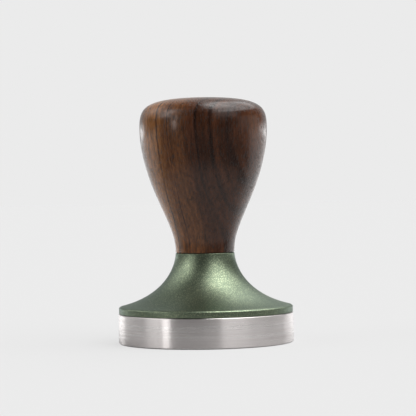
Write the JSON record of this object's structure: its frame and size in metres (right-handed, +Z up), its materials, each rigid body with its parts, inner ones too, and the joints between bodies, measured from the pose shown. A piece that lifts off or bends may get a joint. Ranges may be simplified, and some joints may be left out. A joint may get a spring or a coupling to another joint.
{
  "type": "espresso tamper",
  "caption": "Hand tamper for espresso: a waisted turned handle screws onto a flat steel tamping disc, with a flared metal collar between them.",
  "frame": {"origin": "centre of the flat tamping face, on the axis that every piece is turned about", "axes": "+Z up along that axis, from the tamping face towards the top of the handle; +Y points away from the viewer and +X to the viewer's right, and the outside is the same all round"},
  "size_m": [0.058, 0.058, 0.081],
  "materials": {
    "stainless": "fine turned",
    "stud_steel": "machined",
    "green_anodised": "bead blasted and anodised",
    "walnut": "oiled satin",
    "brass": "machined",
    "black_rubber": "matt",
    "white_nylon": "matt"
  },
  "bodies": {
    "base": {"tamping_base": "stainless", "base_stud": "stud_steel", "stud_nut": "stud_steel"},
    "collar": {"collar": "green_anodised", "collar_seal": "black_rubber", "neck_washer": "white_nylon"},
    "handle": {"handle": "walnut", "handle_insert": "brass", "grip_ring": "black_rubber"}
  },
  "joints": [
    {"name": "collar_lift", "type": "slide", "parent": "base", "child": "collar", "axis": [0, 0, 1], "range_m": [0, 0.01]},
    {"name": "handle_turn", "type": "hinge", "parent": "collar", "child": "handle", "pos_m": [0, 0, 0], "axis": [0, 0, 1], "range_deg": [0, 2880]}
  ],
  "couplings": [
    {"joint": "collar_lift", "follows": "handle_turn", "m_per_rad": 0.00019894}
  ]
}
